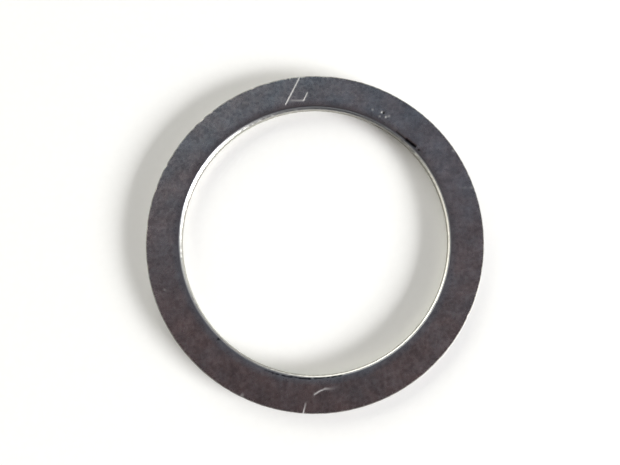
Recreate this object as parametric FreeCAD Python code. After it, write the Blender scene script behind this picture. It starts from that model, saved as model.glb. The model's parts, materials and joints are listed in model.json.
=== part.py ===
import FreeCAD, Part
import math
import os

# Flat steel washer: one plain ring, punched out of steel strip in two strokes of a press.
# The first stroke pierces the bore from above and the second blanks the ring out of the
# strip, so the bore's edge is rolled over at the top face and the rim's at the underside.
# A light boring cut then brings the upper half of the bore to size.  The feed rings that it
# leaves are under 0.05 mm deep and aren't modelled here.
# All sizes are in millimetres.  The origin is the centre of the underside, on the axis of
# the bore, and +Z runs up the bore.

BORE_DIAMETER = 40.0
OUTSIDE_DIAMETER = 50.0
THICKNESS = 2.5

# A punched edge, from the face that rolls over: a wide and very shallow curve, a small
# corner, a smooth straight land, and then a torn band that leans away from the land by
# part of the gap between punch and die.
ROLL_WIDTH = 1.2
ROLL_RADIUS = 5.0
CORNER_RADIUS = 0.2
BREAK_HEIGHT = 1.2
BREAK_LEAN = 0.06

# The sharp edge at the torn band's end is tumbled to a tiny bevel.
BEVEL = 0.05


def corner_centre_drop():
    """How far the corner's centre lies below the face, so that both curves are tangent."""
    between_centres = ROLL_RADIUS - CORNER_RADIUS
    across = ROLL_WIDTH - CORNER_RADIUS
    return ROLL_RADIUS - math.sqrt(between_centres ** 2 - across ** 2)


def on_circle(centre, radius, degrees):
    """The point of a circle in the X-Z plane, at an angle from +X towards +Z."""
    turn = math.radians(degrees)
    return centre + FreeCAD.Vector(radius * math.cos(turn), 0, radius * math.sin(turn))


def arc(centre, radius, first, last):
    """An arc in the X-Z plane, between two angles in degrees."""
    points = [on_circle(centre, radius, a) for a in (first, (first + last) / 2, last)]
    return Part.Arc(*points).toShape()


def line(start, end):
    """A straight edge."""
    return Part.LineSegment(start, end).toShape()


def punched_edge():
    """One punched edge in the X-Z plane, as a wire: the land is at X = 0 and the metal at +X.

    The face that rolls over is at Z = 0 and the other one below it, by the ring's thickness.
    """
    roll_centre = FreeCAD.Vector(ROLL_WIDTH, 0, -ROLL_RADIUS)
    corner_centre = FreeCAD.Vector(CORNER_RADIUS, 0, -corner_centre_drop())
    towards_corner = corner_centre - roll_centre
    meeting = math.degrees(math.atan2(towards_corner.z, towards_corner.x))
    land_top = on_circle(corner_centre, CORNER_RADIUS, 180)
    land_end = FreeCAD.Vector(0, 0, BREAK_HEIGHT - THICKNESS)
    break_end = FreeCAD.Vector(BREAK_LEAN, 0, BEVEL - THICKNESS)
    bevel_end = FreeCAD.Vector(BREAK_LEAN + BEVEL, 0, -THICKNESS)
    edges = [
        arc(roll_centre, ROLL_RADIUS, 90, meeting),
        arc(corner_centre, CORNER_RADIUS, meeting, 180),
        line(land_top, land_end),
        line(land_end, break_end),
        line(break_end, bevel_end),
    ]
    return Part.Wire(edges)


def ring_section():
    """The closed section of the ring, in the X-Z plane at +X."""
    top_of_bore = FreeCAD.Vector(BORE_DIAMETER / 2, 0, THICKNESS)
    bore_edge = punched_edge()
    bore_edge.Placement = FreeCAD.Placement(top_of_bore, FreeCAD.Rotation())

    # Half a turn about Y makes the same edge into the rim's, rolled over at the underside.
    foot_of_rim = FreeCAD.Vector(OUTSIDE_DIAMETER / 2, 0, 0)
    half_turn = FreeCAD.Rotation(FreeCAD.Vector(0, 1, 0), 180)
    rim_edge = punched_edge()
    rim_edge.Placement = FreeCAD.Placement(foot_of_rim, half_turn)

    bore_ends = bore_edge.OrderedVertexes
    rim_ends = rim_edge.OrderedVertexes
    underside = line(bore_ends[-1].Point, rim_ends[0].Point)
    top_face = line(rim_ends[-1].Point, bore_ends[0].Point)
    return Part.Wire(bore_edge.OrderedEdges + [underside] + rim_edge.OrderedEdges + [top_face])


def washer_ring():
    """The washer: its section, turned once round the bore's axis."""
    section = Part.Face(ring_section())
    return section.revolve(FreeCAD.Vector(0, 0, 0), FreeCAD.Vector(0, 0, 1), 360)


os.makedirs("parts", exist_ok=True)

ring = washer_ring()
print("valid", ring.isValid(), "solids", len(ring.Solids), "volume", round(ring.Volume, 1))
print(ring.optimalBoundingBox(False))
ring.exportStep("parts/washer_ring.step")
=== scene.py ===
import json
import math
import bpy
from mathutils import Matrix, Vector, noise


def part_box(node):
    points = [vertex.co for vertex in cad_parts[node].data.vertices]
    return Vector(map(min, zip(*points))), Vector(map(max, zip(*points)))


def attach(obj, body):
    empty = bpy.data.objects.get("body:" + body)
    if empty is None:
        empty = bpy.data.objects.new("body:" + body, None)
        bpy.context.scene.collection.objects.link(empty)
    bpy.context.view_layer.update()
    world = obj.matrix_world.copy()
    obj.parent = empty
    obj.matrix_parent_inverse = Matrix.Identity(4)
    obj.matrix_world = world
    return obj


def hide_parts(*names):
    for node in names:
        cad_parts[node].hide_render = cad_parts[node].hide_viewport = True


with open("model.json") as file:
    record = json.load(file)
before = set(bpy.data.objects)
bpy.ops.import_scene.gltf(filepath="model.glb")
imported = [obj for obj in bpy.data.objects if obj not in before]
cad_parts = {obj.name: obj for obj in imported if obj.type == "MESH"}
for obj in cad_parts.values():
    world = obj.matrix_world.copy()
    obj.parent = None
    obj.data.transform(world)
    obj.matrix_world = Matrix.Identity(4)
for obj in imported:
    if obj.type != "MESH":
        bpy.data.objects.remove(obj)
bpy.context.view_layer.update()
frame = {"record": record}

# ---------------------------------------------------------------------------------------
# The ring.  One flat washer, punched out of cold-rolled steel strip: the bore is pierced from
# above and rolled over at the top face, and the rim is blanked and rolled over at the underside.
# A boring cut leaves fine feed rings in the upper half of the bore, and tumbling dulls the rest.

MM = 0.001
mounts = {mount["name"]: mount for mount in frame["record"]["mounts"]}
bore_radius = mounts["bore"]["dims"]["r_mm"]
rim_radius = mounts["rim"]["dims"]["r_mm"]
foot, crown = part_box("washer_ring")
thickness = (crown.z - foot.z) / MM

# A punched edge in millimetres, from the face that rolls over: a wide shallow curve, a tight
# corner, the smooth land, the torn band that leans away from it, and a tumbled bevel.
ROLL_WIDTH = 1.2
ROLL_RADIUS = 5.0
CORNER_RADIUS = 0.2
BREAK_HEIGHT = 1.2
BREAK_LEAN = 0.06
BEVEL = 0.05

# Tumbling rubs the rim's land dull, to this share of the bore's shine.
RIM_SHINE = 0.35

# How many rows of faces each part of the section has.
ROLL_ROWS = 8
CORNER_ROWS = 6
LAND_ROWS = 5
TORN_ROWS = 7
FACE_ROWS = 26
UNDERSIDE_ROWS = 8

# The roll's finish, with its colour painted darker to stand for the dark room it reflects, gathers at
# the corner: it grows with this power of the way there.
ROLL_GATHER = 4

# A last narrow row just inside each bevel has only this share of the torn finish, so that the
# finish doesn't spread over the flat face.
GUARD_WIDTH = 0.01
GUARD_SHARE = 0.5

# The feed rings: how many there are, how deep each cut is, and how far each of the three
# short facets of the slope that faces up leans from level, in degrees.
FEED_RINGS = 8
FEED_DEPTH = 0.047
FEED_LEANS = (26, 34, 42)


def arc_steps(centre, radius, first, last, steps):
    """Points of an arc after its first one, between two angles in degrees."""
    turns = [math.radians(first + (last - first) * k / steps) for k in range(1, steps + 1)]
    return [(centre[0] + radius * math.cos(t), centre[1] + radius * math.sin(t)) for t in turns]


def straight_steps(start, end, steps):
    """Points of a straight line after its first one."""
    parts = [k / steps for k in range(1, steps + 1)]
    return [(start[0] + (end[0] - start[0]) * p, start[1] + (end[1] - start[1]) * p) for p in parts]


def rolled_corner():
    """The roll and corner: points as (into the metal, up from the face), with the land at 0."""
    reach = ROLL_WIDTH - CORNER_RADIUS
    between = ROLL_RADIUS - CORNER_RADIUS
    turn = math.degrees(math.asin(reach / between))
    corner_centre = (CORNER_RADIUS, math.sqrt(between ** 2 - reach ** 2) - ROLL_RADIUS)
    points = [(ROLL_WIDTH, 0.0)]
    points += arc_steps((ROLL_WIDTH, -ROLL_RADIUS), ROLL_RADIUS, 90, 90 + turn, ROLL_ROWS)
    points += arc_steps(corner_centre, CORNER_RADIUS, 90 + turn, 180, CORNER_ROWS)
    return points


def feed_rings(start, end):
    """The bored land: shallow grooves, each with an undercut and a slope that faces up."""
    leans = [math.radians(lean) for lean in FEED_LEANS]
    facet = FEED_DEPTH / sum(math.cos(lean) for lean in leans)
    pitch = (end[1] - start[1]) / FEED_RINGS
    points = []
    for k in range(1, FEED_RINGS + 1):
        x = FEED_DEPTH
        z = start[1] + k * pitch - facet * sum(math.sin(lean) for lean in leans)
        points.append((x, z))
        for lean in leans:
            x -= facet * math.cos(lean)
            z += facet * math.sin(lean)
            points.append((x, z))
    return points


ROLLED_CORNER = rolled_corner()


def edge_rows(break_height, bevel, bored):
    """One edge: (into the metal, down from the face, rolled, sheared, torn) for each row."""
    rows = []
    for k, (x, z) in enumerate(ROLLED_CORNER):
        rows.append((x, -z, min(1.0, k / ROLL_ROWS) ** ROLL_GATHER, 0.0, 0.0))
    land_top = (0.0, rows[-1][1])
    land_end = (0.0, thickness - break_height)
    lean_end = (BREAK_LEAN, thickness - bevel)
    bevel_end = (BREAK_LEAN + bevel, thickness)
    if bored:
        rows += [(x, z, 0.0, 1.0, 0.0) for x, z in feed_rings(land_top, land_end)]
    else:
        rows += [(x, z, 0.0, RIM_SHINE, 0.0) for x, z in straight_steps(land_top, land_end, LAND_ROWS)]
    rows += [(x, z, 0.0, 0.0, 1.0) for x, z in straight_steps(land_end, lean_end, TORN_ROWS)]
    rows += [(x, z, 0.0, 0.0, 1.0) for x, z in straight_steps(lean_end, bevel_end, 1)]
    rows.append((BREAK_LEAN + bevel + GUARD_WIDTH, thickness, 0.0, 0.0, GUARD_SHARE))
    return rows


# The torn band's edge wanders in long and short waves: their lengths, and how far they go at
# the bore and at the rim.  The bevel's width wanders in waves of its own.
TEAR_WAVES = (1.6, 0.5)
BORE_TEAR = (0.06, 0.05)
RIM_TEAR = (0.10, 0.07)
BEVEL_WAVE = 0.7
BEVEL_WANDER = 0.02


def wander(turn, pitch, seed):
    """Smooth noise from -1 to 1 that runs round the ring without a seam."""
    reach = bore_radius / pitch
    return noise.noise(Vector((math.cos(turn) * reach, math.sin(turn) * reach, seed)))


def uneven_edge(turn, tear, seed, bored):
    """The rows of one edge at one angle, with its torn band and its bevel wandering."""
    long_wave = tear[0] * wander(turn, TEAR_WAVES[0], seed)
    short_wave = tear[1] * wander(turn, TEAR_WAVES[1], seed + 2.0)
    bevel = BEVEL + BEVEL_WANDER * wander(turn, BEVEL_WAVE, seed + 5.0)
    return edge_rows(BREAK_HEIGHT + (long_wave + short_wave), bevel, bored)


def section_rows(turn):
    """The closed section at one angle: (radius, height, rolled, sheared, torn) for each row."""
    bore = uneven_edge(turn, BORE_TEAR, 3.0, True)
    rim = uneven_edge(turn, RIM_TEAR, 13.0, False)
    rows = [(bore_radius + x, thickness - z, *kind) for x, z, *kind in bore]
    inner = rows[-1][0]
    outer = rim_radius - rim[0][0]
    under = straight_steps((inner, 0), (outer, 0), UNDERSIDE_ROWS)
    rows += [(r, z, 0.0, 0.0, 0.0) for r, z in under][:-1]
    rows += [(rim_radius - x, z, *kind) for x, z, *kind in rim]
    face = straight_steps((rows[-1][0], thickness), (bore_radius + ROLL_WIDTH, thickness), FACE_ROWS)
    rows += [(r, z, 0.0, 0.0, 0.0) for r, z in face][:-1]
    return rows


# Scratches and dents on the top face, in millimetres from the bore's axis.  A scratch has
# its two ends, its half width, its depth and how bright its bare metal is at each end.
SCRATCHES = [
    ((-2.27, 24.80), (-4.44, 20.34), 0.060, 0.030, 0.8, 1.0),
    ((-1.07, 22.26), (-1.68, 20.98), 0.060, 0.025, 0.6, 1.0),
    ((-1.68, 20.98), (-3.83, 20.98), 0.100, 0.006, 0.6, 0.15),
    ((-1.17, -23.40), (-1.59, -24.95), 0.070, 0.025, 0.35, 1.0),
    ((0.02, -22.32), (0.76, -21.85), 0.065, 0.018, 0.9, 0.9),
    ((0.76, -21.85), (1.55, -21.55), 0.070, 0.014, 0.9, 0.7),
    ((1.55, -21.55), (2.84, -21.51), 0.110, 0.008, 0.6, 0.15),
    ((21.67, 7.31), (23.61, 7.31), 0.070, 0.006, 0.2, 0.3),
    ((-10.0, -22.3), (-10.5, -22.7), 0.080, 0.012, 0.6, 0.3),
]
# A dent has its place, its radius, its depth and how bright it is.
DENTS = [
    ((8.90, 19.49), 0.13, 0.030, 0.55),
    ((10.32, 19.05), 0.15, 0.045, 0.95),
    ((9.95, 18.42), 0.12, 0.030, 0.60),
    ((10.92, 18.30), 0.14, 0.035, 0.75),
    ((11.38, 18.44), 0.12, 0.030, 0.60),
    ((21.01, 12.90), 0.13, 0.030, 0.60),
    ((-21.84, -7.72), 0.14, 0.025, 0.35),
    ((-20.38, -7.72), 0.13, 0.020, 0.30),
]
# A few nicks along the bore's edge are cut in and coloured near black: two ends, half width and depth.
BLACK_NICKS = [
    ((12.49, 15.99), (13.97, 14.73), 0.065, 0.02),
    ((13.97, 14.73), (15.30, 13.64), 0.17, 0.05),
    ((15.78, 13.12), (15.88, 13.02), 0.13, 0.03),
    ((10.55, 18.95), (10.66, 18.90), 0.12, 0.03),
    ((-13.6, -14.70), (-13.8, -14.80), 0.14, 0.03),
]


def along(point, start, end):
    """Where a point's foot falls on a line, from 0 to 1, and its distance from the line."""
    run = (end[0] - start[0], end[1] - start[1])
    off = (point[0] - start[0], point[1] - start[1])
    part = (off[0] * run[0] + off[1] * run[1]) / (run[0] ** 2 + run[1] ** 2)
    held = min(1.0, max(0.0, part))
    return held, math.hypot(off[0] - run[0] * held, off[1] - run[1] * held)


# Metal is pushed up into a lip beside a scratch and round a dent: how far out the lip is, how
# wide it is, both in widths of the mark, and its height as a share of the mark's depth.
SCRATCH_LIP = (1.8, 0.6, 0.3)
DENT_LIP = (1.6, 0.5, 0.25)

# A scratch starts and ends at this share of its depth, and reaches all of it at this rate.
END_SHARE = 0.4
END_RATE = 6

# Bare metal shows a little wider than the scratch, and the near-black colour fills a nick out to its
# sides.
BARE_SPREAD = 1.2
BLACK_FILL = 1.8

# How far from its middle a scratch, and then a dent or nick, is still felt, in its own widths,
# and how far from its first end a scratch can reach, in millimetres.
MARK_REACH = 4
DENT_REACH = 3
LONGEST = 6


def bell(away, width):
    """1 in the middle of a mark, falling smoothly to 0 past its width."""
    return math.exp(-((away / width) ** 2))


def depth_share(away, width, lip):
    """How deep a mark is at a distance from its middle; less than 0 on its lip."""
    return bell(away, width) - lip[2] * bell(away - lip[0] * width, lip[1] * width)


def face_wear(x, y):
    """How deep the top face is cut at a place in millimetres, how bare and how near black it is."""
    cut, bare, blackness = 0.0, 0.0, 0.0
    for start, end, width, depth, bright_start, bright_end in SCRATCHES:
        if abs(x - start[0]) > LONGEST or abs(y - start[1]) > LONGEST:
            continue
        part, away = along((x, y), start, end)
        if away < MARK_REACH * width:
            fade = min(1.0, END_RATE * part + END_SHARE, END_RATE * (1 - part) + END_SHARE)
            cut += depth * fade * depth_share(away, width, SCRATCH_LIP)
            bright = bright_start + (bright_end - bright_start) * part
            bare = max(bare, bright * bell(away, BARE_SPREAD * width))
    for place, size, depth, bright in DENTS:
        away = math.hypot(x - place[0], y - place[1])
        if away < DENT_REACH * size:
            cut += depth * depth_share(away, size, DENT_LIP)
            bare = max(bare, bright * bell(away, size))
    for start, end, width, depth in BLACK_NICKS:
        part, away = along((x, y), start, end)
        if away < DENT_REACH * width:
            cut += depth * bell(away, width)
            blackness = max(blackness, min(1.0, BLACK_FILL * bell(away, width)))
    return cut, bare, blackness


# A ragged near-black seam runs along the bore's edge at the front: its stretch in degrees, its
# radius at either end, its half width, and how far outside its line it may still reach.
SEAM_START = 248.0
SEAM_END = 284.0
SEAM_RADII = (20.32, 20.06)
SEAM_WIDTH = 0.10
SEAM_REACH = 0.6

# Its line wanders by this much, in waves of this length.  Its strength has a mean and a spread,
# in shorter waves, and it is multiplied by the fill; what is fainter than the last isn't there.
SEAM_WANDER = 0.12
SEAM_WAVE = 1.1
RAGGED_MEAN = 0.9
RAGGED_SPREAD = 1.5
RAGGED_WAVE = 0.5
SEAM_FILL = 1.7
SEAM_FAINT = 0.25


def black_seam(turn, radius):
    """How near black the bore's edge is at an angle and a radius."""
    degrees = math.degrees(turn)
    if not SEAM_START < degrees < SEAM_END or radius > SEAM_RADII[0] + SEAM_REACH:
        return 0.0
    part = (degrees - SEAM_START) / (SEAM_END - SEAM_START)
    swell = math.sin(math.pi * part) ** 0.5
    middle = SEAM_RADII[0] + (SEAM_RADII[1] - SEAM_RADII[0]) * part
    middle += SEAM_WANDER * wander(turn, SEAM_WAVE, 21.0)
    ragged = RAGGED_MEAN + RAGGED_SPREAD * wander(turn, RAGGED_WAVE, 23.0)
    line = bell(radius - middle, SEAM_WIDTH)
    return min(1.0, max(0.0, SEAM_FILL * swell * line * ragged - SEAM_FAINT))


# The step between the mesh's columns, in degrees, and the stretches where the marks are and
# the columns stand closer together: each has its start, its end and its own step.
COLUMN_STEP = 0.72
FINE_STRETCHES = [
    (92.0, 103.0, 0.10),
    (SEAM_START, SEAM_END, 0.18),
    (57.5, 66.5, 0.20),
    (39.0, 53.0, 0.25),
]

# The last column stays at least this far from the first, so that no face is a sliver.
LAST_GAP = 0.05


def column_turns():
    """The angle of every column of the mesh, in degrees."""
    turns = []
    turn = 0.0
    while turn < 360.0 - LAST_GAP:
        turns.append(turn)
        fine = [step for low, high, step in FINE_STRETCHES if low <= turn < high]
        turn += fine[0] if fine else COLUMN_STEP
    return turns


# The surface strays from its plain section: how far, in millimetres, and how many waves there
# are to the millimetre along X, Y and Z.  The first two are everywhere.
SLOW_WAVES = (0.003, (0.5, 0.5, 0.5))
RIPPLES = (0.001, (1.7, 1.7, 1.7))
TORN_STREAKS = (0.030, (3, 3, 2))
TORN_GRAIN = (0.015, (9, 9, 9))
CHATTER = (0.004, (2, 2, 12))


def stray(place, kind):
    """How far one kind of unevenness lifts the surface at a place."""
    height, waves = kind
    return height * noise.noise(Vector((place.x * waves[0], place.y * waves[1], place.z * waves[2])))


def unevenness(place, sheared, torn):
    """How far the surface stands out at a place: slow waves, torn grain and faint chatter."""
    lift = stray(place, SLOW_WAVES) + stray(place, RIPPLES)
    lift += torn * (stray(place, TORN_STREAKS) + stray(place, TORN_GRAIN))
    lift += sheared * stray(place, CHATTER)
    return lift


def outward(rows, k):
    """The direction out of the metal at one row of a section: along its radius, and upwards."""
    before = rows[k - 1]
    after = rows[(k + 1) % len(rows)]
    size = math.hypot(after[1] - before[1], before[0] - after[0])
    return (after[1] - before[1]) / size, (before[0] - after[0]) / size


def ring_faces(columns, rows_each):
    """The faces between neighbouring columns and rows, both of which close on themselves."""
    faces = []
    for i in range(columns):
        j = (i + 1) % columns
        for k in range(rows_each):
            m = (k + 1) % rows_each
            faces.append((i * rows_each + k, j * rows_each + k, j * rows_each + m, i * rows_each + m))
    return faces


# The marks are on the top face: a point has none if it lies lower than this, or if its
# direction out of the metal points up by less than this share.  The near-black places are sunk this
# deep.
MARKED_DEPTH = 0.2
MARKED_UPWARD = 0.4
BLACK_DEPTH = 0.02


def ring_mesh():
    """The ring's mesh, with how rolled, sheared, torn, bare and near black each point is."""
    turns = [math.radians(t) for t in column_turns()]
    places = []
    marks = {"rolled": [], "sheared": [], "torn": [], "bare": [], "dirty": []}
    for turn in turns:
        c = math.cos(turn)
        s = math.sin(turn)
        rows = section_rows(turn)
        for k, (r, z, rolled, sheared, torn) in enumerate(rows):
            out_r, out_z = outward(rows, k)
            place = Vector((r * c, r * s, z))
            lift = unevenness(place, sheared, torn)
            bare, dirty = 0.0, 0.0
            if z > thickness - MARKED_DEPTH and out_z > MARKED_UPWARD:
                cut, bare, dirty = face_wear(place.x, place.y)
                dirty = max(dirty, black_seam(turn, r))
                lift -= cut + BLACK_DEPTH * dirty
            r_out = r + out_r * lift
            z_out = z + out_z * lift
            places.append((r_out * c * MM, r_out * s * MM, z_out * MM))
            for name, value in zip(marks, (rolled, sheared, torn, bare, dirty)):
                marks[name].append(value)
    columns = len(turns)
    rows_each = len(places) // columns
    mesh = bpy.data.meshes.new("washer")
    mesh.from_pydata(places, [], ring_faces(columns, rows_each))
    for name, values in marks.items():
        mesh.attributes.new(name, "FLOAT", "POINT").data.foreach_set("value", values)

    # The feed rings' facets stay flat, and everything else is shaded smooth.
    first = len(ROLLED_CORNER) - 1
    last = first + FEED_RINGS * (len(FEED_LEANS) + 1)
    smooth = [not first <= k < last for k in range(rows_each)] * columns
    mesh.polygons.foreach_set("use_smooth", smooth)
    mesh.update()
    return mesh


def add(nodes, kind, **settings):
    """A new node with its properties set."""
    made = nodes.new(kind)
    for name, value in settings.items():
        setattr(made, name, value)
    return made


def mix_colour(tree, share, low, high):
    """A colour between two others; a socket is linked and a value is set."""
    made = add(tree.nodes, "ShaderNodeMix", data_type="RGBA")
    for socket, value in ((made.inputs[0], share), (made.inputs[6], low), (made.inputs[7], high)):
        plug(tree, socket, value)
    return made.outputs[2]


def mix_value(tree, share, low, high):
    """A number between two others; a socket is linked and a value is set."""
    made = add(tree.nodes, "ShaderNodeMix", data_type="FLOAT")
    for socket, value in ((made.inputs[0], share), (made.inputs[2], low), (made.inputs[3], high)):
        plug(tree, socket, value)
    return made.outputs[0]


def times_plus(tree, number, factor, extra):
    """A number times a factor, plus an extra; a socket is linked and a value is set."""
    made = add(tree.nodes, "ShaderNodeMath", operation="MULTIPLY_ADD")
    for socket, value in zip(made.inputs, (number, factor, extra)):
        plug(tree, socket, value)
    return made.outputs[0]


def plug(tree, socket, value):
    """Links a socket to another one, or sets its value."""
    if isinstance(value, bpy.types.NodeSocket):
        tree.links.new(value, socket)
    else:
        socket.default_value = value


# Each finer layer of a grain is this strong beside the one before it.
FINER_SHARE = 0.6


def grain(tree, place, cells, layers):
    """Noise from 0 to 1, with so many cells to the metre and so many finer layers."""
    made = add(tree.nodes, "ShaderNodeTexNoise")
    plug(tree, made.inputs["Vector"], place)
    made.inputs["Scale"].default_value = cells
    made.inputs["Detail"].default_value = layers
    made.inputs["Roughness"].default_value = FINER_SHARE
    return made.outputs["Fac"]


def tinted(tree, colour, amount):
    """A colour made lighter or darker by a number."""
    made = add(tree.nodes, "ShaderNodeVectorMath", operation="SCALE")
    plug(tree, made.inputs[0], colour)
    plug(tree, made.inputs["Scale"], amount)
    return made.outputs[0]


def mark(tree, name):
    """One of the values that the mesh carries at its points."""
    return add(tree.nodes, "ShaderNodeAttribute", attribute_name=name).outputs["Fac"]


# The steel's colours: a warm and a cool grey on the dull faces, a darker one on the roll that is
# painted shade for the dark room it reflects, the darkest and lightest of the land and of the torn
# band, bare metal, and near black.
WARM_GREY = (0.302, 0.272, 0.265, 1)
COOL_GREY = (0.254, 0.273, 0.285, 1)
ROLL_SHADE_GREY = (0.21, 0.215, 0.23, 1)
LAND_DARK = (0.62, 0.61, 0.59, 1)
LAND_LIGHT = (0.78, 0.77, 0.75, 1)
TEAR_DARK = (0.34, 0.33, 0.30, 1)
TEAR_LIGHT = (0.60, 0.59, 0.53, 1)
BARE_METAL = (0.92, 0.91, 0.90, 1)
NEAR_BLACK = (0.004, 0.004, 0.005, 1)

# How rough each finish is.  The face's grows with its mottling, by up to the second value.
FACE_ROUGH = 0.21
MOTTLE_ROUGH = 0.12
ROLL_ROUGH = 0.32
LAND_ROUGH = 0.30
TEAR_ROUGH = 0.50
BARE_ROUGH = 0.75

# The cells to the metre of the patches of warm and cool grey, and of the face's clouds,
# mottling and specks.
HUE_CELLS = 260
CLOUD_CELLS = 330
MOTTLE_CELLS = 2200
SPECK_CELLS = 6500

# How strongly warm turns to cool, and how much each pattern adds to the face's tone; each sum
# starts from a value below nothing.
HUE_CONTRAST = 2.4
HUE_START = -0.7
CLOUD_TONE = 1.1
MOTTLE_TONE = 1.1
SPECK_TONE = 0.6
TONE_START = -0.28

# The bump: its height in metres, its strength, and the mottling's share beside the specks'.
BUMP_HEIGHT = 0.00002
BUMP_STRENGTH = 0.35
MOTTLE_BUMP = 0.5


def steel():
    """Dull rolled steel on the faces, bright where it was cut, grainy where it tore."""
    material = bpy.data.materials.new("punched_steel")
    material.use_nodes = True
    tree = material.node_tree
    shader = tree.nodes["Principled BSDF"]
    shader.inputs["Metallic"].default_value = 1.0
    place = add(tree.nodes, "ShaderNodeTexCoord").outputs["Object"]
    rolled = mark(tree, "rolled")
    sheared = mark(tree, "sheared")
    torn = mark(tree, "torn")
    bare = mark(tree, "bare")
    dirty = mark(tree, "dirty")

    clouds = grain(tree, place, CLOUD_CELLS, 3)
    mottle = grain(tree, place, MOTTLE_CELLS, 3)
    specks = grain(tree, place, SPECK_CELLS, 2)
    hue = grain(tree, place, HUE_CELLS, 3)
    hue = times_plus(tree, hue, HUE_CONTRAST, HUE_START)

    # Dull faces: a grey that wanders between a warm and a cool one, with cloudy mottling.
    grey = mix_colour(tree, hue, WARM_GREY, COOL_GREY)
    tone = times_plus(tree, clouds, CLOUD_TONE, TONE_START)
    tone = times_plus(tree, mottle, MOTTLE_TONE, tone)
    tone = times_plus(tree, specks, SPECK_TONE, tone)
    face = tinted(tree, grey, tone)
    # The roll's darker grey is painted shade, standing for the dark room that the roll reflects.
    face = mix_colour(tree, rolled, face, ROLL_SHADE_GREY)

    land = mix_colour(tree, mottle, LAND_DARK, LAND_LIGHT)
    tear = mix_colour(tree, mottle, TEAR_DARK, TEAR_LIGHT)
    colour = mix_colour(tree, sheared, face, land)
    colour = mix_colour(tree, torn, colour, tear)
    colour = mix_colour(tree, bare, colour, BARE_METAL)
    # Near black in the nicks and along the ragged seam at the bore's edge.
    colour = mix_colour(tree, dirty, colour, NEAR_BLACK)
    plug(tree, shader.inputs["Base Color"], colour)

    rough = times_plus(tree, mottle, MOTTLE_ROUGH, FACE_ROUGH)
    rough = mix_value(tree, rolled, rough, ROLL_ROUGH)
    rough = mix_value(tree, sheared, rough, LAND_ROUGH)
    rough = mix_value(tree, torn, rough, TEAR_ROUGH)
    rough = mix_value(tree, bare, rough, BARE_ROUGH)
    plug(tree, shader.inputs["Roughness"], rough)

    height = times_plus(tree, mottle, MOTTLE_BUMP, specks)
    bump = add(tree.nodes, "ShaderNodeBump")
    bump.inputs["Strength"].default_value = BUMP_STRENGTH
    bump.inputs["Distance"].default_value = BUMP_HEIGHT
    plug(tree, bump.inputs["Height"], height)
    plug(tree, shader.inputs["Normal"], bump.outputs["Normal"])
    return material


washer = bpy.data.objects.new("washer", ring_mesh())
bpy.context.scene.collection.objects.link(washer)
washer.data.materials.append(steel())
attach(washer, "root")
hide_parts("washer_ring")

# ---------------------------------------------------------------------------------------
# The table.  A wide sheet of plain white card that the washer lies on, loose and flat.
# Its fibres make its tone very slightly uneven.

TABLE_REACH = 1.5
TABLE_SIDES = 96
TABLE_RINGS = 8
CARD_DARK = (0.84, 0.84, 0.83, 1)
CARD_LIGHT = (0.88, 0.88, 0.875, 1)
FIBRE_CELLS = 900


def card():
    """White card, very slightly uneven in tone."""
    material = bpy.data.materials.new("white_card")
    material.use_nodes = True
    tree = material.node_tree
    shader = tree.nodes["Principled BSDF"]
    place = add(tree.nodes, "ShaderNodeTexCoord").outputs["Object"]
    fibre = grain(tree, place, FIBRE_CELLS, 4)
    colour = mix_colour(tree, fibre, CARD_DARK, CARD_LIGHT)
    plug(tree, shader.inputs["Base Color"], colour)
    shader.inputs["Roughness"].default_value = 0.9
    shader.inputs["Specular IOR Level"].default_value = 0.2
    return material


def table_mesh():
    """A flat round sheet, made of rings of faces round its middle."""
    places = [(0.0, 0.0, 0.0)]
    for k in range(1, TABLE_RINGS + 1):
        reach = TABLE_REACH * (k / TABLE_RINGS) ** 2
        for i in range(TABLE_SIDES):
            turn = math.tau * i / TABLE_SIDES
            places.append((reach * math.cos(turn), reach * math.sin(turn), 0.0))
    faces = [(0, 1 + i, 1 + (i + 1) % TABLE_SIDES) for i in range(TABLE_SIDES)]
    for k in range(TABLE_RINGS - 1):
        a = 1 + k * TABLE_SIDES
        b = a + TABLE_SIDES
        for i in range(TABLE_SIDES):
            j = (i + 1) % TABLE_SIDES
            faces.append((a + i, b + i, b + j, a + j))
    mesh = bpy.data.meshes.new("table")
    mesh.from_pydata(places, [], faces)
    mesh.update()
    return mesh


table = bpy.data.objects.new("table", table_mesh())
bpy.context.scene.collection.objects.link(table)
table.data.materials.append(card())

# ---------------------------------------------------------------------------------------
# The light.  A bright window low on the right, a broad dimmer one higher at the back left, and a
# plain room: pale walls with a brighter one on the left, a dark corner at the back right, a dark
# front, and a dim ceiling that is cool at the back and warm in front.


def window(name, bearing, elevation, distance, size, power, colour):
    """A soft light that faces the ring; bearing is from +X towards +Y, in degrees."""
    light = bpy.data.lights.new(name, "AREA")
    light.shape = "RECTANGLE"
    light.size, light.size_y = size
    light.energy = power
    light.color = colour
    lamp = bpy.data.objects.new(name, light)
    a = math.radians(bearing)
    e = math.radians(elevation)
    away = Vector((math.cos(a) * math.cos(e), math.sin(a) * math.cos(e), math.sin(e)))
    lamp.location = away * distance
    lamp.rotation_euler = away.to_track_quat("Z", "Y").to_euler()
    bpy.context.scene.collection.objects.link(lamp)


# Each window's bearing, elevation, distance, size, power and colour, in degrees, metres and watts.
window("window_right", -24.5, 22.0, 1.5, (0.80, 0.42), 39.0, (1.0, 1.0, 1.0))
window("window_left", 122, 35, 1.5, (1.80, 0.95), 14.0, (0.99, 0.985, 0.89))

# How bright each part of the room is.
SKIRTING = (0.76, 0.77, 0.75, 1)
WALLS = (0.64, 0.66, 0.63, 1)
LEFT_WALL = (1.30, 1.28, 1.12, 1)
DARK_CORNER = (0.14, 0.14, 0.15, 1)
FRONT_CEILING = (0.208, 0.125, 0.122, 1)
BACK_CEILING = (0.222, 0.252, 0.318, 1)
FRONT_SHADE = (0.026, 0.032, 0.046, 1)
OVERHEAD_SPOT = (0.155, 0.160, 0.185, 1)


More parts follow.
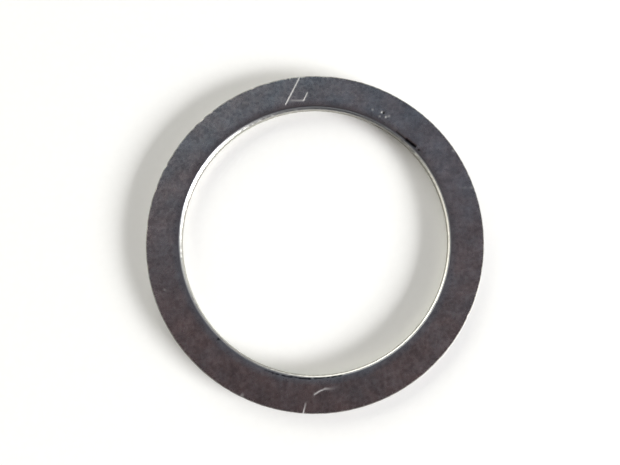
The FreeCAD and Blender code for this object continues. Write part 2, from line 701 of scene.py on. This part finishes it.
# Where each part of the room is: the direction it lies in, and how nearly the direction looked
# in agrees with that one, 1 being the same, where the part begins and where it is complete.
BACK = ((0, 1, 0), -0.24, 0.45)
FRONT = ((0, -1, 0), 0.28, 0.52)
LEFT = ((-1, 0, 0), 0.55, 0.85)
CORNER = ((0.50, 0.72, 0.45), 0.78, 0.95)
CEILING = ((0, 0, 1), 0.60, 0.85)
OVERHEAD = ((0, 0, 1), 0.982, 0.997)
ABOVE_SKIRTING = ((0, 0, 1), 0.14, 0.26)


def facing(tree, look, part):
    """How far the direction looked in is inside a part of the room, from 0 to 1."""
    direction, begins, complete = part
    agreement = add(tree.nodes, "ShaderNodeVectorMath", operation="DOT_PRODUCT")
    plug(tree, agreement.inputs[0], look)
    agreement.inputs[1].default_value = Vector(direction).normalized()
    share = add(tree.nodes, "ShaderNodeMapRange", interpolation_type="SMOOTHSTEP")
    plug(tree, share.inputs["Value"], agreement.outputs["Value"])
    share.inputs["From Min"].default_value = begins
    share.inputs["From Max"].default_value = complete
    return share.outputs["Result"]


def room():
    """A dim room; its colours depend only on the direction looked in."""
    world = bpy.data.worlds.new("room")
    world.use_nodes = True
    tree = world.node_tree
    look = add(tree.nodes, "ShaderNodeTexCoord").outputs["Generated"]
    walls = mix_colour(tree, facing(tree, look, LEFT), WALLS, LEFT_WALL)
    walls = mix_colour(tree, facing(tree, look, CORNER), walls, DARK_CORNER)
    ceiling = mix_colour(tree, facing(tree, look, BACK), FRONT_CEILING, BACK_CEILING)
    colour = mix_colour(tree, facing(tree, look, CEILING), walls, ceiling)
    colour = mix_colour(tree, facing(tree, look, OVERHEAD), colour, OVERHEAD_SPOT)
    colour = mix_colour(tree, facing(tree, look, FRONT), colour, FRONT_SHADE)
    colour = mix_colour(tree, facing(tree, look, ABOVE_SKIRTING), SKIRTING, colour)
    plug(tree, tree.nodes["Background"].inputs["Color"], colour)
    return world


bpy.context.scene.world = room()

# ---------------------------------------------------------------------------------------
# The camera.  It stands almost over the washer, a little towards the front, with its own
# up direction along the table's +Y.  Its field of view is in degrees.

CAMERA_PLACE = Vector((0.96, -7.55, 81.7)) * MM
CAMERA_AIM = Vector((0.07, 5.71, 0.0)) * MM
FIELD_OF_VIEW = 59.9
SENSOR_WIDTH = 36.0
SIDEWAYS_SHIFT = -0.0081
UPWARD_SHIFT = -0.0508
NEAREST = 0.001
FARTHEST = 10.0

camera_data = bpy.data.cameras.new("camera")
camera_data.sensor_width = SENSOR_WIDTH
camera_data.lens = SENSOR_WIDTH / 2 / math.tan(math.radians(FIELD_OF_VIEW / 2))
camera_data.shift_x = SIDEWAYS_SHIFT
camera_data.shift_y = UPWARD_SHIFT
camera_data.clip_start = NEAREST
camera_data.clip_end = FARTHEST
camera = bpy.data.objects.new("camera", camera_data)
camera.location = CAMERA_PLACE
ahead = (CAMERA_AIM - CAMERA_PLACE).normalized()
right = ahead.cross(Vector((0, 1, 0))).normalized()
camera.rotation_euler = Matrix((right, right.cross(ahead), -ahead)).transposed().to_euler()
bpy.context.scene.collection.objects.link(camera)
bpy.context.scene.camera = camera
bpy.context.scene.view_settings.view_transform = "Standard"
